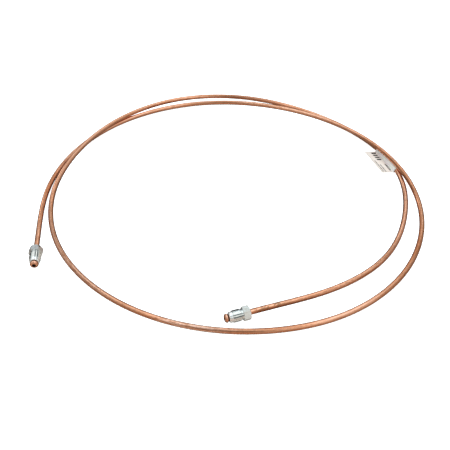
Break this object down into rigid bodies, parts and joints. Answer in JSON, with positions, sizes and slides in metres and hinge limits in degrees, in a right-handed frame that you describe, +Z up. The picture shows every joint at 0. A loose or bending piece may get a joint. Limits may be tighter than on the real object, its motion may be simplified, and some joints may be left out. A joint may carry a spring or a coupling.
{
  "type": "brake line",
  "caption": "Coiled copper brake pipe with a bubble flare and a captive steel tube nut on each end, and a folded paper flag label.",
  "frame": {"origin": "on the surface that the coil lies on, at the middle of its bounding box", "axes": "+Z up out of the surface; +X to the right and +Y to the back as the coil is seen from its two nuts' side"},
  "size_m": [0.3586, 0.3644, 0.011],
  "materials": {
    "copper": "satin",
    "zinc_plated_steel": "satin",
    "label_paper": "matte"
  },
  "bodies": {
    "line": {"brake_pipe": "copper", "flag_label": "label_paper"},
    "left_nut": {"left_tube_nut": "zinc_plated_steel"},
    "front_nut": {"front_tube_nut": "zinc_plated_steel"}
  },
  "joints": [
    {"name": "left_nut_spin", "type": "hinge", "parent": "line", "child": "left_nut", "pos_m": [-0.16607, -0.10704, 0.0055], "axis": [0.1305, -0.9914, 0], "continuous": true},
    {"name": "front_nut_spin", "type": "hinge", "parent": "line", "child": "front_nut", "pos_m": [-0.00215, -0.16864, 0.0055], "axis": [-0.9455, -0.3256, 0], "continuous": true}
  ]
}
